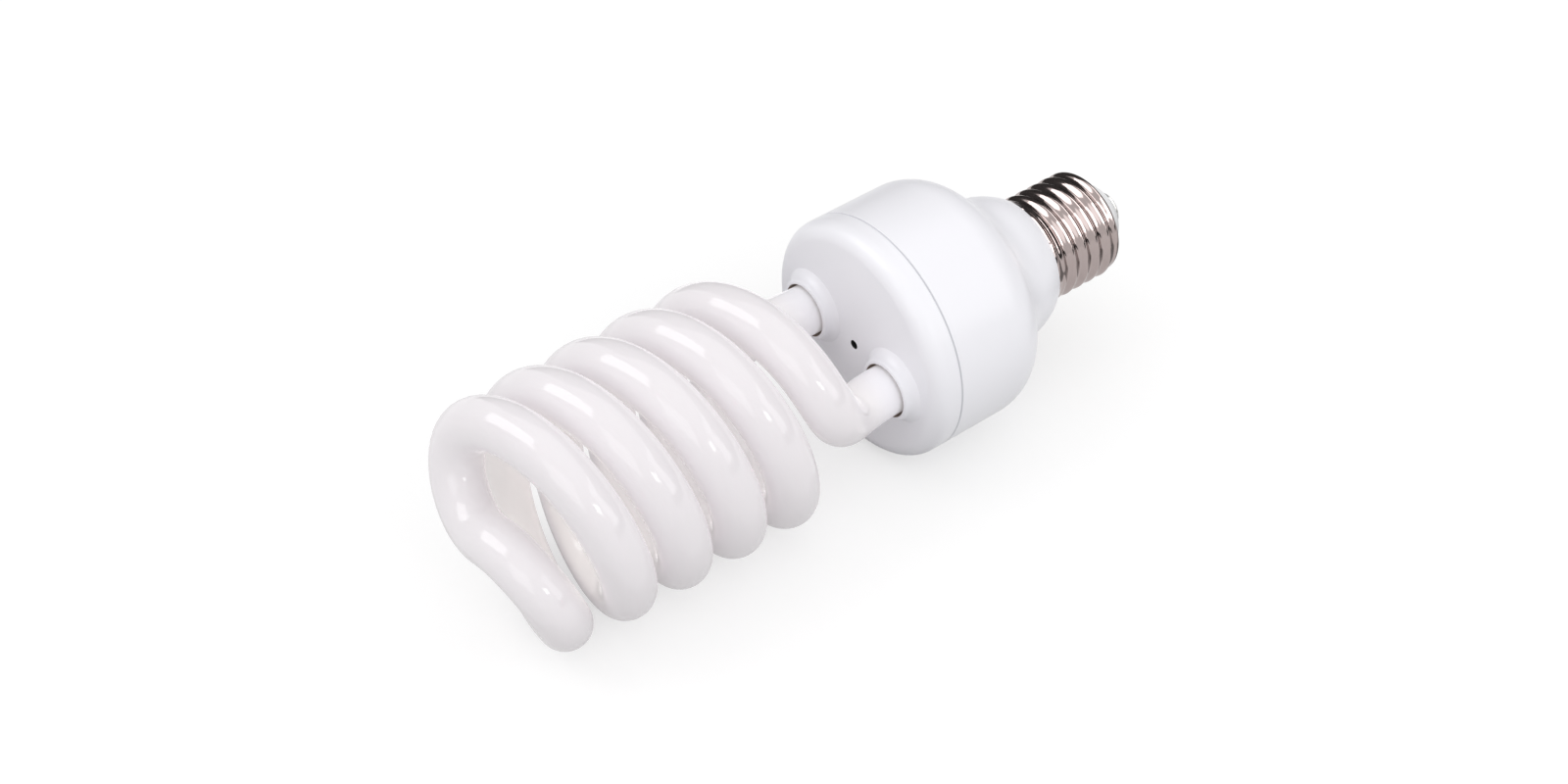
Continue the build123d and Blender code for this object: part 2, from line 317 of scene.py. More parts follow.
# Modelling
def deselect():
    """Object mode, with nothing selected."""
    active = bpy.context.view_layer.objects.active
    if active and active.mode != "OBJECT":
        bpy.ops.object.mode_set(mode="OBJECT")
    bpy.ops.object.select_all(action="DESELECT")


def merge_points(outward):
    """Merges doubled points of the active piece, and turns its faces outwards if asked."""
    bpy.ops.object.mode_set(mode="EDIT")
    bpy.ops.mesh.select_all(action="SELECT")
    bpy.ops.mesh.remove_doubles(threshold=MERGE)
    if outward:
        bpy.ops.mesh.normals_make_consistent(inside=False)
    bpy.ops.mesh.select_all(action="DESELECT")
    bpy.ops.object.mode_set(mode="OBJECT")


def apply_modifier(piece, kind, **values):
    """Adds a modifier to the active piece, sets its values and applies it."""
    bpy.ops.object.modifier_add(type=kind)
    modifier = piece.modifiers[-1]
    for name, value in values.items():
        setattr(modifier, name, value)
    bpy.ops.object.modifier_apply(modifier=modifier.name)


def joined_copy(node):
    """Copy of a CAD node, with its loose triangles joined and its own normals cleared."""
    deselect()
    solid = frame["nodes"][node]
    solid.select_set(True)
    bpy.context.view_layer.objects.active = solid
    bpy.ops.object.duplicate()
    piece = bpy.context.object
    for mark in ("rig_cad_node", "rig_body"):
        del piece[mark]
    if piece.data.has_custom_normals:
        bpy.ops.mesh.customdata_custom_splitnormals_clear()
    merge_points(outward=False)
    return piece


def smooth_faces(piece, degrees):
    """Shades the active piece smooth up to an angle, led by its large faces."""
    bpy.ops.object.shade_smooth_by_angle(angle=radians(degrees))
    apply_modifier(piece, "WEIGHTED_NORMAL", keep_sharp=True, weight=100)
    return piece


def dress(piece, name, node, finish):
    """Names a piece, gives it its finish and puts it in the place of its CAD node."""
    piece.name = piece.data.name = name
    piece.data.materials.clear()
    piece.data.materials.append(finish)
    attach(piece, "root")
    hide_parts(node)


# Nodes of a material
def opaque(colour):
    """Colour with full alpha."""
    return (*colour[:3], 1)


def grey(tone):
    """Opaque grey of one tone."""
    return (tone, tone, tone, 1)


def feed(tree, socket, value):
    """Links another node's output to a socket, or sets the socket to a plain value."""
    if isinstance(value, bpy.types.NodeSocket):
        tree.links.new(value, socket)
    else:
        socket.default_value = value


def object_place(tree):
    """Place on the piece, in the lamp's frame."""
    return tree.nodes.new("ShaderNodeTexCoord").outputs["Object"]


def math_node(tree, operation, *values):
    """Result of one calculation with numbers."""
    node = tree.nodes.new("ShaderNodeMath")
    node.operation = operation
    for socket, value in zip(node.inputs, values):
        feed(tree, socket, value)
    return node.outputs[0]


def vector_node(tree, operation, first, second):
    """Outputs of one calculation with vectors."""
    node = tree.nodes.new("ShaderNodeVectorMath")
    node.operation = operation
    feed(tree, node.inputs[0], first)
    feed(tree, node.inputs[1], second)
    return node.outputs


def mix_node(tree, factor, first, second):
    """Colour between two colours."""
    node = tree.nodes.new("ShaderNodeMix")
    node.data_type = "RGBA"
    for label, value in (("Factor", factor), ("A", first), ("B", second)):
        feed(tree, node.inputs[label], value)
    return node.outputs["Result"]


def noise_node(tree, place, scale, detail):
    """Cloudy value between 0 and 1."""
    node = tree.nodes.new("ShaderNodeTexNoise")
    for label, value in (("Vector", place), ("Scale", scale), ("Detail", detail)):
        feed(tree, node.inputs[label], value)
    return node.outputs["Fac"]


def bump_node(tree, height, distance):
    """Normal that follows a height."""
    node = tree.nodes.new("ShaderNodeBump")
    feed(tree, node.inputs["Height"], height)
    feed(tree, node.inputs["Distance"], distance)
    return node.outputs["Normal"]


def ramp(tree, value, start, end):
    """Smooth step from 0 at start to 1 at end."""
    node = tree.nodes.new("ShaderNodeMapRange")
    node.interpolation_type = "SMOOTHSTEP"
    for label, setting in (("Value", value), ("From Min", start), ("From Max", end)):
        feed(tree, node.inputs[label], setting)
    return node.outputs["Result"]


# Effects that several finishes share
def new_group(name, inputs, outputs):
    """Empty node group with named sockets, what it is given and what it puts out."""
    tree = bpy.data.node_groups.new(name, "ShaderNodeTree")
    for label, kind, default in inputs:
        tree.interface.new_socket(label, in_out="INPUT", socket_type=kind).default_value = default
    for label, kind in outputs:
        tree.interface.new_socket(label, in_out="OUTPUT", socket_type=kind)
    return tree, tree.nodes.new("NodeGroupInput").outputs, tree.nodes.new("NodeGroupOutput").inputs


def uneven_finish():
    """Slow unevenness of colour and gloss."""
    tree, given, result = new_group(
        "uneven_finish",
        [("Colour", "NodeSocketColor", grey(0.8)), ("Patches per metre", "NodeSocketFloat", 80.0),
         ("Colour spread", "NodeSocketFloat", 0.03), ("Roughness", "NodeSocketFloat", 0.3),
         ("Roughness spread", "NodeSocketFloat", 0.05)],
        [("Colour", "NodeSocketColor"), ("Roughness", "NodeSocketFloat")])
    patches = noise_node(tree, object_place(tree), given["Patches per metre"], detail=4)
    offset = math_node(tree, "SUBTRACT", patches, 0.5)
    shade = math_node(tree, "MULTIPLY", offset, given["Colour spread"])
    tone = tree.nodes.new("ShaderNodeHueSaturation")
    feed(tree, tone.inputs["Value"], math_node(tree, "ADD", shade, 1.0))
    feed(tree, tone.inputs["Color"], given["Colour"])
    feed(tree, result["Colour"], tone.outputs["Color"])
    rub = math_node(tree, "MULTIPLY", offset, given["Roughness spread"])
    feed(tree, result["Roughness"], math_node(tree, "ADD", given["Roughness"], rub))
    return tree


def fine_relief():
    """Small relief of a moulded, drawn or fired surface."""
    tree, given, result = new_group(
        "fine_relief",
        [("Grains per metre", "NodeSocketFloat", 1500.0), ("Depth", "NodeSocketFloat", 0.00002)],
        [("Normal", "NodeSocketVector")])
    grain = noise_node(tree, object_place(tree), given["Grains per metre"], detail=3)
    feed(tree, result["Normal"], bump_node(tree, grain, given["Depth"]))
    return tree


def turned_streaks():
    """Streaks that run round the lamp's axis, as rolling and turning leave on metal."""
    drawn_out = (1, 0.06, 0.06)
    clouds_per_metre = 260
    tree, given, result = new_group(
        "turned_streaks",
        [("Colour", "NodeSocketColor", grey(0.7)), ("Tint", "NodeSocketColor", (0.5, 0.45, 0.4, 1)),
         ("Streaks per metre", "NodeSocketFloat", 3000.0), ("Roughness", "NodeSocketFloat", 0.15),
         ("Roughness spread", "NodeSocketFloat", 0.15), ("Depth", "NodeSocketFloat", 0.000004)],
        [("Colour", "NodeSocketColor"), ("Roughness", "NodeSocketFloat"), ("Normal", "NodeSocketVector")])
    place = object_place(tree)
    stretch = tree.nodes.new("ShaderNodeMapping")
    feed(tree, stretch.inputs["Vector"], place)
    feed(tree, stretch.inputs["Scale"], drawn_out)
    streaks = noise_node(tree, stretch.outputs["Vector"], given["Streaks per metre"], detail=4)
    haze = math_node(tree, "MULTIPLY", streaks, noise_node(tree, place, clouds_per_metre, detail=5))
    feed(tree, result["Colour"], mix_node(tree, haze, given["Colour"], given["Tint"]))
    rub = math_node(tree, "MULTIPLY", haze, given["Roughness spread"])
    feed(tree, result["Roughness"], math_node(tree, "ADD", given["Roughness"], rub))
    feed(tree, result["Normal"], bump_node(tree, streaks, given["Depth"]))
    return tree


def lamp_place():
    """Distance along the lamp's axis, and away from a line that runs beside it."""
    tree, given, result = new_group(
        "lamp_place", [("Line", "NodeSocketVector", (0, 0, AXIS_Z))],
        [("Along", "NodeSocketFloat"), ("Away", "NodeSocketFloat")])
    place = object_place(tree)
    split = tree.nodes.new("ShaderNodeSeparateXYZ")
    feed(tree, split.inputs["Vector"], place)
    feed(tree, result["Along"], split.outputs["X"])
    flat = vector_node(tree, "MULTIPLY", place, (0, 1, 1))["Vector"]
    feed(tree, result["Away"], vector_node(tree, "DISTANCE", flat, given["Line"])["Value"])
    return tree


def effect(tree, build, **values):
    """Places a shared effect in a material with its own values, and builds it the first time."""
    node = tree.nodes.new("ShaderNodeGroup")
    node.node_tree = bpy.data.node_groups.get(build.__name__) or build()
    for name, value in values.items():
        node.inputs[name.replace("_", " ").capitalize()].default_value = value
    return node.outputs


# Finishes
def new_material(name):
    """Material with its nodes and its shader."""
    made = bpy.data.materials.new(name)
    made.use_nodes = True
    return made, made.node_tree, made.node_tree.nodes["Principled BSDF"]


def smooth_finish(name, colour, roughness, patches=80, colour_spread=0.03, roughness_spread=0.06,
                  grains=1500, depth=0.00001):
    """Moulded, fired, dipped or drawn surface with uneven gloss and a fine relief."""
    made, tree, shader = new_material(name)
    uneven = effect(tree, uneven_finish, colour=opaque(colour), patches_per_metre=patches,
                    colour_spread=colour_spread, roughness=roughness, roughness_spread=roughness_spread)
    relief = effect(tree, fine_relief, grains_per_metre=grains, depth=depth)
    feed(tree, shader.inputs["Base Color"], uneven["Colour"])
    feed(tree, shader.inputs["Roughness"], uneven["Roughness"])
    feed(tree, shader.inputs["Normal"], relief["Normal"])
    return made


def plated_finish(name, colour, tint, roughness, streaks):
    """Plated or tinned metal with streaks round the axis."""
    made, tree, shader = new_material(name)
    rolled = effect(tree, turned_streaks, colour=opaque(colour), tint=opaque(tint),
                    streaks_per_metre=streaks, roughness=roughness)
    feed(tree, shader.inputs["Base Color"], rolled["Colour"])
    feed(tree, shader.inputs["Roughness"], rolled["Roughness"])
    feed(tree, shader.inputs["Normal"], rolled["Normal"])
    shader.inputs["Metallic"].default_value = 1
    return made


def wound_finish(name, colour, tint, wire):
    """Enamelled wire wound side by side, its turns seen as fine ridges along the board."""
    board_turn = radians(-160)
    made, tree, shader = new_material(name)
    turn = tree.nodes.new("ShaderNodeMapping")
    feed(tree, turn.inputs["Vector"], object_place(tree))
    feed(tree, turn.inputs["Rotation"], (board_turn, 0, 0))
    wave = tree.nodes.new("ShaderNodeTexWave")
    wave.bands_direction = "Y"
    feed(tree, wave.inputs["Vector"], turn.outputs["Vector"])
    # At this scale one wave of the texture is as long as the wire is thick
    feed(tree, wave.inputs["Scale"], pi / (10 * wire))
    feed(tree, wave.inputs["Distortion"], 0.6)
    ridges = wave.outputs["Fac"]
    feed(tree, shader.inputs["Base Color"], mix_node(tree, ridges, opaque(tint), opaque(colour)))
    feed(tree, shader.inputs["Normal"], bump_node(tree, ridges, wire / 3))
    shader.inputs["Metallic"].default_value = 0.8
    shader.inputs["Roughness"].default_value = 0.3
    return made


def repaint(tree, mask, colour):
    """Puts another colour over the base colour where the mask is 1."""
    base = tree.nodes["Principled BSDF"].inputs["Base Color"]
    feed(tree, base, mix_node(tree, mask, base.links[0].from_socket, opaque(colour)))


# Glass spiral
ARCS_PER_TURN = 8
KNOT_STEPS = 24
SECTION_STEPS = 20
# Handles of the bridge in coil radii, and of the leg bend as shares of its run
BRIDGE_MIDDLE, BRIDGE_END = 1.9 / 3, 2.37 / 3
BEND_AT_COIL, BEND_AT_LEG = 0.6, 0.7
# Painted light: the paler inside colour, which lifts the shaded inner wall and the gaps, starts and is full
# this far under the coil's outside
INSIDE_LIGHT_FROM, INSIDE_LIGHT_TO = 0.0045, 0.0098
# It comes in about the coil's front end, and fades by a share between two distances behind it, so the
# painted light is weaker deeper in the spiral
FRONT_BLEND = 0.004
DEEP_FROM, DEEP_TO, DEEP_LIGHT_FADE = 0.012, 0.034, 0.45
# The legs' paler colour, partly painted light that lifts their shade by the bands and the housing and
# partly their own bluer tone, starts and is full this far in front of the plate
LEG_FROM, LEG_TO = 0.014, 0.004


def strand_knots(tube):
    """Bezier knots of one strand as (left handle, place, right handle), from the bridge to its leg."""
    front, coil_x = plate_x(tube), coil_front(tube)
    coil_r = HOUSING_R - tube.diameter / 2
    whole_turn = 2 * pi * tube.turns
    first_turn = tube.leg_angle - tube.bend_turn - whole_turn
    bend_run = tube.coil_start - tube.leg_straight
    middle = Vector((coil_x - tube.bridge_rise, 0, AXIS_Z))
    out = across(BRIDGE_MIDDLE * coil_r, first_turn + tube.bridge_turn)
    knots = [(middle - out, middle, middle + out)]
    arcs = round(tube.turns * ARCS_PER_TURN)
    step = whole_turn / arcs
    for i in range(arcs + 1):
        turn = first_turn + i * step
        place = around(coil_x + tube.pitch * i * step / (2 * pi), coil_r, turn)
        along = Vector((tube.pitch / (2 * pi), 0, 0)) + across(coil_r, turn + pi / 2)
        # A handle of this length follows a round arc
        left = right = along * (4 / 3 * tan(step / 4))
        if i == 0:
            left = along.normalized() * (BRIDGE_END * coil_r)
        if i == arcs:
            right = along.normalized() * (BEND_AT_COIL * bend_run)
        knots.append((place - left, place, place + right))
    top = near_leg(tube, front - tube.leg_straight)
    end = near_leg(tube, front + tube.leg_inside)
    third = (end - top) / 3
    knots.append((top - Vector((BEND_AT_LEG * bend_run, 0, 0)), top, top + third))
    knots.append((end - third, end, end + third))
    return knots


def glass_finish(tube, finish):
    """White coating behind glass, with painted light: lighter inside the spiral where it lies in shade,
    paler on the legs partly to lift their shade, and a faint even light given off in front of the housing.
    """
    made = smooth_finish("coated_glass", finish.glass, roughness=0.07, patches=45, colour_spread=0.02,
                         roughness_spread=0.05, grains=70, depth=0.00003)
    tree = made.node_tree
    shader = tree.nodes["Principled BSDF"]
    shader.inputs["Subsurface Weight"].default_value = 0.5
    shader.inputs["Subsurface Radius"].default_value = (1.0, 0.95, 0.97)
    shader.inputs["Subsurface Scale"].default_value = tube.diameter / 2
    place = effect(tree, lamp_place, line=(0, 0, AXIS_Z))
    along, radius = place["Along"], place["Away"]
    front, coil_x = plate_x(tube), coil_front(tube)
    under = ramp(tree, radius, HOUSING_R - INSIDE_LIGHT_FROM, HOUSING_R - INSIDE_LIGHT_TO)
    behind = ramp(tree, along, coil_x - FRONT_BLEND, coil_x + FRONT_BLEND)
    deep = ramp(tree, along, coil_x + DEEP_FROM, coil_x + DEEP_TO)
    kept = math_node(tree, "SUBTRACT", 1.0, math_node(tree, "MULTIPLY", deep, DEEP_LIGHT_FADE))
    inside = math_node(tree, "MULTIPLY", math_node(tree, "MULTIPLY", under, behind), kept)
    # Painted light: the shaded inner wall and the gaps are painted paler, most near the coil's front end
    repaint(tree, inside, finish.inside)
    # Partly painted light: the legs are painted paler and bluer near the plate
    repaint(tree, ramp(tree, along, front - LEG_FROM, front - LEG_TO), finish.legs)
    # Painted light: the glass in front of the housing gives off a faint even light
    in_housing = math_node(tree, "GREATER_THAN", along, front)
    feed(tree, shader.inputs["Emission Color"],
         mix_node(tree, in_housing, opaque(finish.glow), grey(0)))
    shader.inputs["Emission Strength"].default_value = finish.glow_strength
    return made


class LAMP_OT_glass_spiral(bpy.types.Operator):
    """Draws the glass tube along its two strands and the bridge between them"""

    bl_idname = "lamp.glass_spiral"
    bl_label = "Glass spiral"

    def execute(self, context):
        tube = context.scene.lamp_tube
        near = strand_knots(tube)
        far = [tuple(half_turn(point) for point in reversed(knot)) for knot in reversed(near[1:])]
        path = far + near
        deselect()
        bpy.ops.curve.primitive_bezier_curve_add()
        curve = context.object.data
        spline = curve.splines[0]
        spline.bezier_points.add(len(path) - len(spline.bezier_points))
        for point, (left, place, right) in zip(spline.bezier_points, path):
            point.handle_left_type = point.handle_right_type = "FREE"
            point.co, point.handle_left, point.handle_right = place, left, right
        curve.resolution_u = curve.render_resolution_u = spline.resolution_u = KNOT_STEPS
        curve.bevel_depth = tube.diameter / 2
        curve.bevel_resolution = SECTION_STEPS
        curve.use_fill_caps = True
        bpy.ops.object.convert(target="MESH")
        merge_points(outward=True)
        bpy.ops.object.shade_smooth_by_angle(angle=radians(40))
        finish = glass_finish(tube, context.scene.lamp_finish)
        dress(context.object, "glass_spiral", "spiral_tube", finish)
        return {"FINISHED"}


# Housing
# How far a collar of the solid reaches from its hole, and how deep into the hole's wall the painted shade
# is taken
COLLAR_REACH = 0.0037
WALL_SKIN = 0.00005


def slim_collars(piece, tube, housing):
    """Draws the collars' outsides in to a rounded lip that flares down to the plate."""
    hole_r, near = leg_hole_r(tube), near_leg(tube)
    for point in piece.data.vertices:
        down = point.co.x - HOLDER_BOX[0].x
        for leg in (near, half_turn(near)):
            out = Vector((0, point.co.y - leg.y, point.co.z - leg.z))
            if down < tube.collar + TOUCH and hole_r + TOUCH < out.length < hole_r + COLLAR_REACH:
                bend = min(max(down, 0), housing.rounding)
                r = hole_r + housing.lip + (2 * bend * housing.rounding - bend * bend) ** 0.5
                r += housing.flare * ((down - bend) / (tube.collar - housing.rounding)) ** 2
                point.co = Vector((point.co.x, leg.y, leg.z)) + out.normalized() * r
                break
    piece.data.update()


def housing_finish(tube, housing, finish):
    """Moulded white, darker in the seam, with painted shade in the vent and on the walls of the leg holes.
    """
    made = smooth_finish("moulded_white", finish.housing, roughness=0.34, patches=60,
                         colour_spread=0.02, grains=1800, depth=0.000012)
    tree = made.node_tree
    place = effect(tree, lamp_place, line=(0, 0, AXIS_Z))
    off_seam = math_node(tree, "ABSOLUTE", math_node(tree, "SUBTRACT", place["Along"], SEAM_X))
    repaint(tree, math_node(tree, "LESS_THAN", off_seam, housing.seam / 2), finish.seam)
    # Painted shade: near-black painted round the axis, in and about the vent hole
    repaint(tree, math_node(tree, "LESS_THAN", place["Away"], housing.vent), finish.vent)
    # Painted shade: the walls of the leg holes in front of the seam are painted dark brown for the shade in
    # the gap round each leg
    near = near_leg(tube)
    off_legs = [effect(tree, lamp_place, line=leg)["Away"] for leg in (near, half_turn(near))]
    in_hole = math_node(tree, "LESS_THAN", math_node(tree, "MINIMUM", *off_legs),
                        leg_hole_r(tube) + WALL_SKIN)
    in_front = math_node(tree, "LESS_THAN", place["Along"], SEAM_X)
    repaint(tree, math_node(tree, "MULTIPLY", in_hole, in_front), finish.leg_hole)
    return made


class LAMP_OT_housing(bpy.types.Operator):
    """Smooths the two halves of the housing, slims the collars and gives them their moulded finish"""

    bl_idname = "lamp.housing"
    bl_label = "Housing"

    def execute(self, context):
        scene = context.scene
        finish = housing_finish(scene.lamp_tube, scene.lamp_housing, scene.lamp_finish)
        for node, name in (("tube_holder", "front_housing"), ("ballast_case", "rear_housing")):
            piece = joined_copy(node)
            if node == "tube_holder":
                slim_collars(piece, scene.lamp_tube, scene.lamp_housing)
            dress(smooth_faces(piece, degrees=25), name, node, finish)
        return {"FINISHED"}


# Screw cap
SHELL_SIDES = 240
# Rings along the flat skirt, its step to the thread, the thread, the rounded end and the end's face
SKIRT_RINGS, STEP_RINGS, THREAD_RINGS, END_RINGS, FACE_RINGS = 7, 6, 80, 12, 3
# The skirt's broken edge as shares of its length and of the sheet, and where its flat starts and ends
EDGE_X, EDGE_DROP = 0.02, 0.3
FLAT_FROM, FLAT_TO = 0.06, 0.5
# Pitches over which the thread rises and runs out, and the dimples' place along the skirt
THREAD_IN, THREAD_OUT = 0.6, 0.7
DIMPLE_AT = 0.36


def shell_stations(shell):
    """Distances along the axis and base radii of the shell's rings, from the neck to its end hole."""
    start, end = SHELL_BOX[0].x, SHELL_BOX[1].x
    thread_x, round_x = start + shell.skirt_l, end - shell.end_round
    rings = [(start, shell.skirt_r - shell.sheet),
             (start + EDGE_X * shell.skirt_l, shell.skirt_r - EDGE_DROP * shell.sheet)]
    for share in (FLAT_FROM, *spaced(FLAT_FROM, FLAT_TO, SKIRT_RINGS)):
        rings.append((start + share * shell.skirt_l, shell.skirt_r))
    for share in spaced(0, 1, STEP_RINGS):
        ease = share * share * (3 - 2 * share)
        rings.append((start + (FLAT_TO + (1 - FLAT_TO) * share) * shell.skirt_l,
                      shell.skirt_r + ease * (shell.crest_r - shell.skirt_r)))
    rings += [(x, shell.crest_r) for x in spaced(thread_x, round_x, THREAD_RINGS)]
    for turn in spaced(0, pi / 2, END_RINGS):
        rings.append((round_x + shell.end_round * sin(turn),
                      shell.crest_r - shell.end_round * (1 - cos(turn))))
    rings += [(end, r) for r in spaced(rings[-1][1], shell.hole_r, FACE_RINGS)]
    return rings


def thread_depth(shell, x, turn):
    """How deep the rolled thread lies under the shell's base radius."""
    from_start = x - SHELL_BOX[0].x - shell.skirt_l
    fade_in = min(1, max(0, from_start / (THREAD_IN * shell.pitch)))
    fade_out = min(1, max(0, (SHELL_BOX[1].x - x) / (THREAD_OUT * shell.pitch)))
    wave = (1 - cos(2 * pi * from_start / shell.pitch - turn)) / 2
    return (shell.crest_r - shell.root_r) * wave * fade_in * fade_out


def dimple_depth(shell, x, turn):
    """Depth of the pressed dimples in the skirt."""
    step = 2 * pi / shell.dimples
    off_turn = (turn + step / 2) % step - step / 2
    off_x = x - SHELL_BOX[0].x - DIMPLE_AT * shell.skirt_l
    away = (off_turn * shell.skirt_r) ** 2 + off_x ** 2
    return shell.dimple_depth * exp(-away / shell.dimple_r ** 2)


class LAMP_OT_screw_shell(bpy.types.Operator):
    """Rolls the thread, the skirt and the turned-in end of the cap's shell from a tube"""

    bl_idname = "lamp.screw_shell"
    bl_label = "Screw shell"

    def execute(self, context):
        shell, finish = context.scene.lamp_shell, context.scene.lamp_finish
        rings = shell_stations(shell)
        start, end = SHELL_BOX[0].x, SHELL_BOX[1].x
        deselect()
        bpy.ops.mesh.primitive_cylinder_add(
            vertices=SHELL_SIDES, radius=shell.crest_r, depth=end - start, end_fill_type="NOTHING",
            location=((start + end) / 2, 0, AXIS_Z), rotation=(0, pi / 2, 0))
        piece = context.object
        bpy.ops.object.transform_apply(location=True, rotation=True, scale=True)
        bpy.ops.object.mode_set(mode="EDIT")
        bpy.ops.mesh.select_mode(type="EDGE")
        bpy.ops.mesh.select_all(action="DESELECT")
        bpy.ops.object.mode_set(mode="OBJECT")
        # The tube's long edges are cut once for each ring, and each ring then gets its place and radius
        points = piece.data.vertices
        for edge in piece.data.edges:
            first, second = (points[i].co.x for i in edge.vertices)
            edge.select = abs(first - second) > (end - start) / 2
        bpy.ops.object.mode_set(mode="EDIT")
        bpy.ops.mesh.subdivide(number_cuts=len(rings) - 2)
        bpy.ops.object.mode_set(mode="OBJECT")
        for point in piece.data.vertices:
            x, r = rings[round((point.co.x - start) / (end - start) * (len(rings) - 1))]
            turn = atan2(-point.co.y, point.co.z - AXIS_Z)
            r -= thread_depth(shell, x, turn) + dimple_depth(shell, x, turn)
            point.co = around(x, max(r, shell.hole_r), turn)
        merge_points(outward=True)
        outer = max(piece.data.polygons, key=lambda face: off_axis(face.center).length)
        if outer.normal.dot(off_axis(outer.center)) < 0:
            raise RuntimeError("the screw shell came out inside out")
        apply_modifier(piece, "SOLIDIFY", thickness=shell.sheet, offset=-1)
        bpy.ops.object.shade_smooth_by_angle(angle=radians(50))
        nickel = plated_finish("nickel_plate", finish.nickel, finish.tarnish, roughness=0.07, streaks=2600)
        dress(piece, "screw_shell", "screw_cap", nickel)
        return {"FINISHED"}


class LAMP_OT_cap_end(bpy.types.Operator):
    """Smooths the cap's insulator and its centre contact"""

    bl_idname = "lamp.cap_end"
    bl_label = "Cap end"

    def execute(self, context):
        white = smooth_finish("cap_white", context.scene.lamp_finish.insulator, roughness=0.3,
                              patches=150, colour_spread=0.04, grains=900)
        tinned = plated_finish("tinned_contact", (0.62, 0.61, 0.6), (0.4, 0.38, 0.36),
                               roughness=0.22, streaks=2200)
        for node, name, slot, finish in (("cap_insulator", "cap_end", "white_insulator", white),
                                         ("centre_contact", "contact_button", "solder", tinned)):
            dress(smooth_faces(joined_copy(node), degrees=35), name, node, finish)
        return {"FINISHED"}


# Ballast inside the housing
class LAMP_OT_ballast(bpy.types.Operator):
    """Gives the parts inside the housing their finishes"""

    bl_idname = "lamp.ballast"
    bl_label = "Ballast"

    def execute(self, context):
        black = smooth_finish("black_moulding", (0.03, 0.03, 0.032), roughness=0.5, patches=300,
                              colour_spread=0.3)
        film = smooth_finish("dipped_film", (0.42, 0.13, 0.06), roughness=0.25, patches=200,
                             colour_spread=0.12, grains=500, depth=0.00005)
        ferrite = smooth_finish("ferrite", (0.07, 0.07, 0.075), roughness=0.6, patches=900,
                                colour_spread=0.4, grains=2500, depth=0.00003)
        sleeve = smooth_finish("wire_sleeve", (0.8, 0.8, 0.78), roughness=0.4, patches=120,
                               colour_spread=0.05)
        cement = smooth_finish("silicone_cement", (0.6, 0.53, 0.44), roughness=0.6, patches=250,
                               colour_spread=0.08, grains=400, depth=0.0001)
        laminate = smooth_finish("paper_laminate", (0.5, 0.36, 0.18), roughness=0.55, patches=700,
                                 colour_spread=0.25, grains=1200, depth=0.00002)
        bobbin = smooth_finish("bobbin_black", (0.05, 0.05, 0.05), roughness=0.4, patches=300,
                               colour_spread=0.2)
        shrink = smooth_finish("shrink_sleeve", (0.035, 0.037, 0.045), roughness=0.22, patches=150,
                               colour_spread=0.25, grains=300, depth=0.00003)
        resistor = smooth_finish("resistor_coat", (0.2, 0.42, 0.5), roughness=0.5, patches=500,
                                 colour_spread=0.15)
        wire = plated_finish("tinned_wire", (0.65, 0.64, 0.62), (0.45, 0.42, 0.4),
                             roughness=0.3, streaks=3000)
        copper = wound_finish("copper_winding", (0.72, 0.3, 0.14), (0.36, 0.12, 0.05), wire=0.0004)
        finishes = {
            "leg_cement": cement, "filament_leads": wire, "circuit_board": laminate,
            "choke_core": ferrite, "choke_bobbin": bobbin, "choke_winding": copper,
            "smoothing_capacitor": shrink, "drive_toroid": ferrite,
            "transistor_a": black, "transistor_b": black,
            "tank_capacitor": film, "coupling_capacitor": film,
            "rectifier_diodes": black, "fuse_resistor": resistor,
            "live_lead": sleeve, "neutral_lead": sleeve,
        }
        for node, finish in finishes.items():
            solid = frame["nodes"][node]
            solid.data.materials.clear()
            solid.data.materials.append(finish)
        return {"FINISHED"}


# Studio
# What the panels and cards face: the whole lamp, its spiral and its cap
CENTRE = (CAD_BOX[0] + CAD_BOX[1]) / 2
COIL = Vector((0.45 * CAD_BOX[0].x, 0, AXIS_Z))
CAP = Vector((0.8 * CAD_BOX[1].x, 0, AXIS_Z))
KEY_WAY = Vector((-0.48, 0.47, 0.745))
FLOOR_SIZE = 6
# The floor's tone for the light that it gives back, its tone as seen, and what lifts that to white
FLOOR_TONE, FLOOR_SEEN, FLOOR_LIFT = 0.37, 0.55, 0.49
# The camera's sensor in millimetres, and the picture's width over its height
SENSOR = 36
PICTURE_SHAPE = 1600 / 800


def seen_directly(tree):
    """1 for rays from the camera and for mirrored or passed rays, 0 for diffuse light."""
    rays = tree.nodes.new("ShaderNodeLightPath").outputs
    bounced = math_node(tree, "MAXIMUM", rays["Is Glossy Ray"], rays["Is Transmission Ray"])
    return math_node(tree, "MAXIMUM", rays["Is Camera Ray"], bounced)


def white_floor():
    """Pale floor that shows as white and keeps the lamp's shadow."""
    deselect()
    bpy.ops.mesh.primitive_plane_add(size=FLOOR_SIZE)
    floor = bpy.context.object
    floor.name = "floor"
    made, tree, shader = new_material("white_floor")
    seen = seen_directly(tree)
    feed(tree, shader.inputs["Base Color"], mix_node(tree, seen, grey(FLOOR_TONE), grey(FLOOR_SEEN)))
    feed(tree, shader.inputs["Emission Strength"], math_node(tree, "MULTIPLY", seen, FLOOR_LIFT))
    shader.inputs["Emission Color"].default_value = grey(1)
    shader.inputs["Roughness"].default_value = 0.9
    shader.inputs["Specular IOR Level"].default_value = 0
    floor.data.materials.append(made)


def white_surroundings(sky):
    """Even light from all round, white where it is seen."""
    world = bpy.data.worlds.new("studio")
    world.use_nodes = True
    bpy.context.scene.world = world
    tree = world.node_tree
    background = tree.nodes["Background"]
    background.inputs["Color"].default_value = grey(1)
    feed(tree, background.inputs["Strength"], math_node(tree, "MAXIMUM", seen_directly(tree), sky))


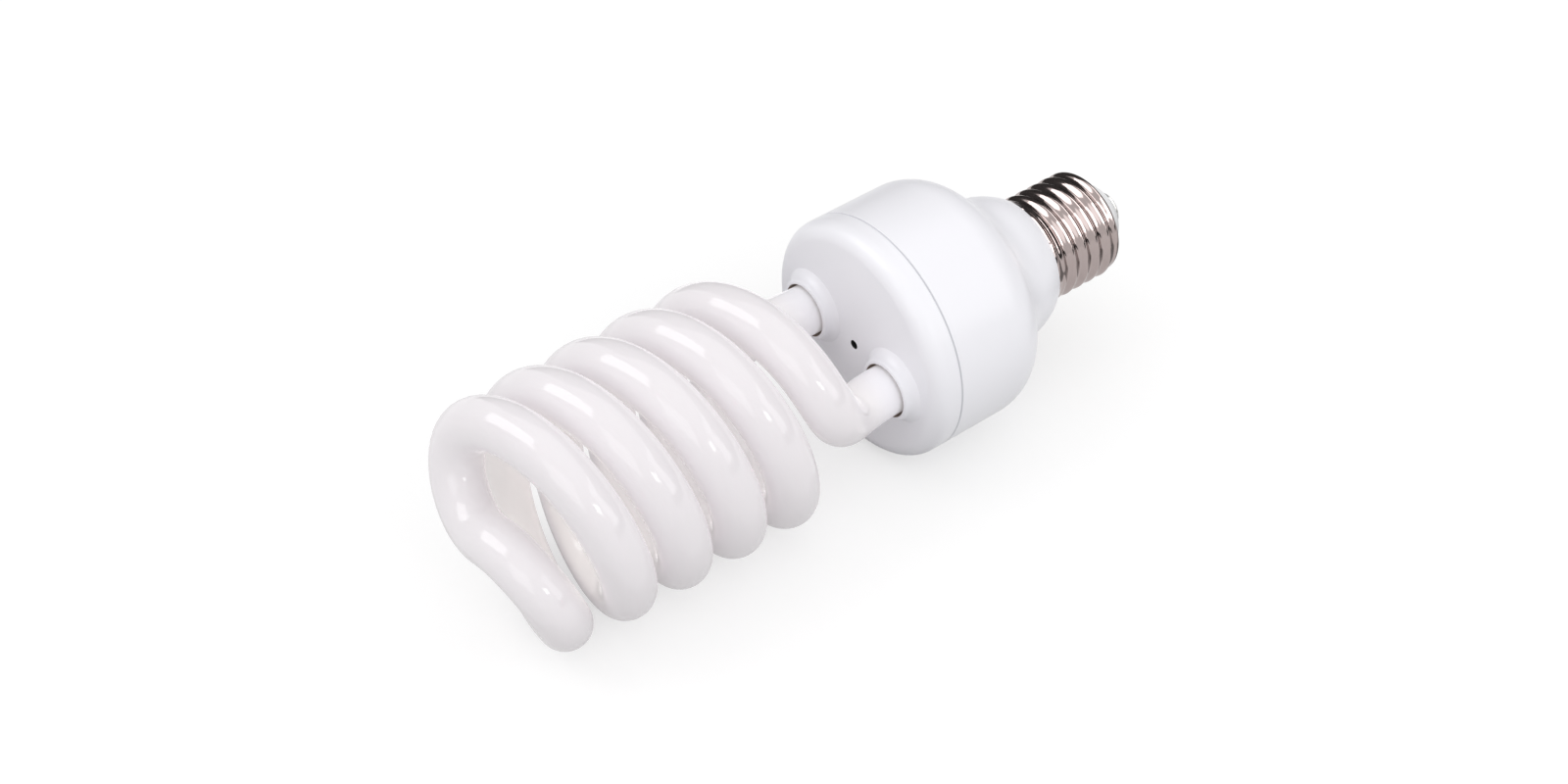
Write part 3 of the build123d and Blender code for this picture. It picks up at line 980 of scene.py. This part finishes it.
def facing(place, target, up=(0, 0, 1)):
    """Placing of a panel whose back points from target to place, with its height along up."""
    back = (place - target).normalized()
    side = Vector(up).cross(back).normalized()
    return Matrix.Translation(place) @ Matrix((side, back.cross(side), back)).transposed().to_4x4()


def leaning(target, way, distance):
    """Placing of a panel at a distance from target along way, with its height square to the lamp's axis."""
    return facing(target + distance * way, target, (0, way.z, -way.y))


def softbox(name, placing, width, height, brightness):
    """Light panel whose face has the given brightness."""
    light = bpy.data.lights.new(name, "AREA")
    light.shape = "RECTANGLE"
    light.size, light.size_y, light.energy = width, height, brightness * pi * width * height
    panel = bpy.data.objects.new(name, light)
    bpy.context.scene.collection.objects.link(panel)
    panel.matrix_world = placing
    return panel


def shine(name, placing, width, height, brightness):
    """Softbox that only shows as a reflection."""
    panel = softbox(name, placing, width, height, brightness)
    panel.visible_diffuse = False
    return panel


def flag(name, placing, width, height, tone):
    """Grey card that only shows as a reflection, to give glass and metal their contrast."""
    deselect()
    bpy.ops.mesh.primitive_plane_add(size=1)
    card = bpy.context.object
    card.name = name
    card.matrix_world = placing @ Matrix.Diagonal((width, height, 1, 1))
    bpy.ops.object.transform_apply(location=True, rotation=True, scale=True)
    made, _, shader = new_material(name)
    shader.inputs["Base Color"].default_value = grey(tone)
    shader.inputs["Roughness"].default_value = 0.9
    card.data.materials.append(made)
    card.visible_camera = card.visible_diffuse = card.visible_shadow = card.visible_transmission = False


def place_lights(studio):
    """Softboxes that light the lamp, and panels that shine in its glass and metal."""
    for name, offset, target, width, height, brightness in (
            ("fill_left", (-0.68, -0.38, 0.46), CENTRE, 0.55, 0.55, studio.fill),
            ("fill_right", (0.45, -0.63, 0.45), CENTRE, 0.6, 0.6, studio.fill),
            ("front", (-0.018, -0.783, 0.44), COIL, 0.2, 0.14, studio.front)):
        softbox(name, facing(target + Vector(offset), target), width, height, brightness)
    softbox("key", leaning(COIL, KEY_WAY, distance=0.8), 0.42, 0.66, studio.key)
    shine("key_shine", leaning(COIL, KEY_WAY, distance=0.7), 0.37, 0.58, studio.shine)
    metal = bpy.data.collections.new("mirroring_metal")
    for name in ("screw_shell", "contact_button"):
        metal.objects.link(bpy.data.objects[name])
    for name, way, width, height in (("shine_top", (0.44, 0.1, 0.89), 0.2, 0.42),
                                     ("shine_front", (0.08, -0.64, 0.76), 0.6, 0.36)):
        panel = shine(name, leaning(CAP, Vector(way), distance=0.45), width, height, studio.top)
        panel.light_linking.receiver_collection = metal


def place_flags():
    """Cards round the cap, and two on the floor, below the cap and below the spiral."""
    for name, offset, width, height, tone in (
            ("flag_back", (0.07, 0.14, 0.07), 0.35, 0.28, 0.08),
            ("flag_front", (0.264, -0.528, 0.078), 0.6, 0.11, 0.02),
            ("flag_right", (0.46, -0.05, 0.23), 0.9, 0.52, 0.02)):
        flag(name, facing(CAP + Vector(offset), CAP), width, height, tone)
    for name, place, width, height, tone in (
            ("flag_floor", (CAP.x + 0.075, -0.02, 0.001), 0.1, 0.1, 0.3),
            ("flag_under", (-0.0425, 0.065, 0.0005), 0.125, 0.23, 0.72)):
        flag(name, Matrix.Translation(place), width, height, tone)


def place_camera(studio, plate):
    """Camera at the photograph's angle, so that the front plate's centre falls where it should."""
    camera = bpy.data.objects.new("camera", bpy.data.cameras.new("camera"))
    bpy.context.scene.collection.objects.link(camera)
    camera.data.sensor_width, camera.data.lens = SENSOR, studio.lens
    camera.data.clip_start = 0.01
    level = cos(studio.elevation)
    back = Vector((sin(studio.azimuth) * level, -cos(studio.azimuth) * level, sin(studio.elevation)))
    right = Vector((cos(studio.azimuth), sin(studio.azimuth), 0))
    up = back.cross(right)
    width = SENSOR / studio.lens * studio.distance
    place = (plate + back * studio.distance - right * (studio.centre_u - 0.5) * width
             + up * (studio.centre_v - 0.5) * width / PICTURE_SHAPE)
    camera.matrix_world = Matrix.Translation(place) @ Matrix((right, up, back)).transposed().to_4x4()
    bpy.context.scene.camera = camera


class LAMP_OT_studio(bpy.types.Operator):
    """Sets up the white floor, the soft light and the camera"""

    bl_idname = "lamp.studio"
    bl_label = "Studio"

    def execute(self, context):
        scene = context.scene
        white_floor()
        white_surroundings(scene.lamp_studio.sky)
        place_lights(scene.lamp_studio)
        place_flags()
        place_camera(scene.lamp_studio, Vector((plate_x(scene.lamp_tube), 0, AXIS_Z)))
        scene.view_settings.view_transform = "Standard"
        return {"FINISHED"}


class LAMP_PT_pieces(bpy.types.Panel):
    """Lists the lamp's pieces and their settings"""

    bl_label = "Spiral studio lamp"
    bl_idname = "LAMP_PT_pieces"
    bl_space_type = "VIEW_3D"
    bl_region_type = "UI"
    bl_category = "Lamp"

    def draw(self, context):
        for group in SETTINGS:
            settings = getattr(context.scene, group)
            column = self.layout.column(align=True)
            for name in settings.__annotations__:
                column.prop(settings, name)
        for operator in OPERATORS:
            self.layout.operator(operator.bl_idname)


OPERATORS = (LAMP_OT_glass_spiral, LAMP_OT_housing, LAMP_OT_screw_shell, LAMP_OT_cap_end, LAMP_OT_ballast,
             LAMP_OT_studio)
SETTINGS = {"lamp_tube": TubeSettings, "lamp_housing": HousingSettings, "lamp_shell": ShellSettings,
            "lamp_finish": FinishSettings, "lamp_studio": StudioSettings}


def register():
    for kind in (*SETTINGS.values(), *OPERATORS, LAMP_PT_pieces):
        bpy.utils.register_class(kind)
    for name, kind in SETTINGS.items():
        setattr(bpy.types.Scene, name, PointerProperty(type=kind))


def unregister():
    for name in SETTINGS:
        delattr(bpy.types.Scene, name)
    for kind in (LAMP_PT_pieces, *reversed(OPERATORS), *reversed(SETTINGS.values())):
        bpy.utils.unregister_class(kind)


def main():
    register()
    bpy.ops.lamp.glass_spiral()
    bpy.ops.lamp.housing()
    bpy.ops.lamp.screw_shell()
    bpy.ops.lamp.cap_end()
    bpy.ops.lamp.ballast()
    bpy.ops.lamp.studio()


if __name__ == "__main__":
    main()
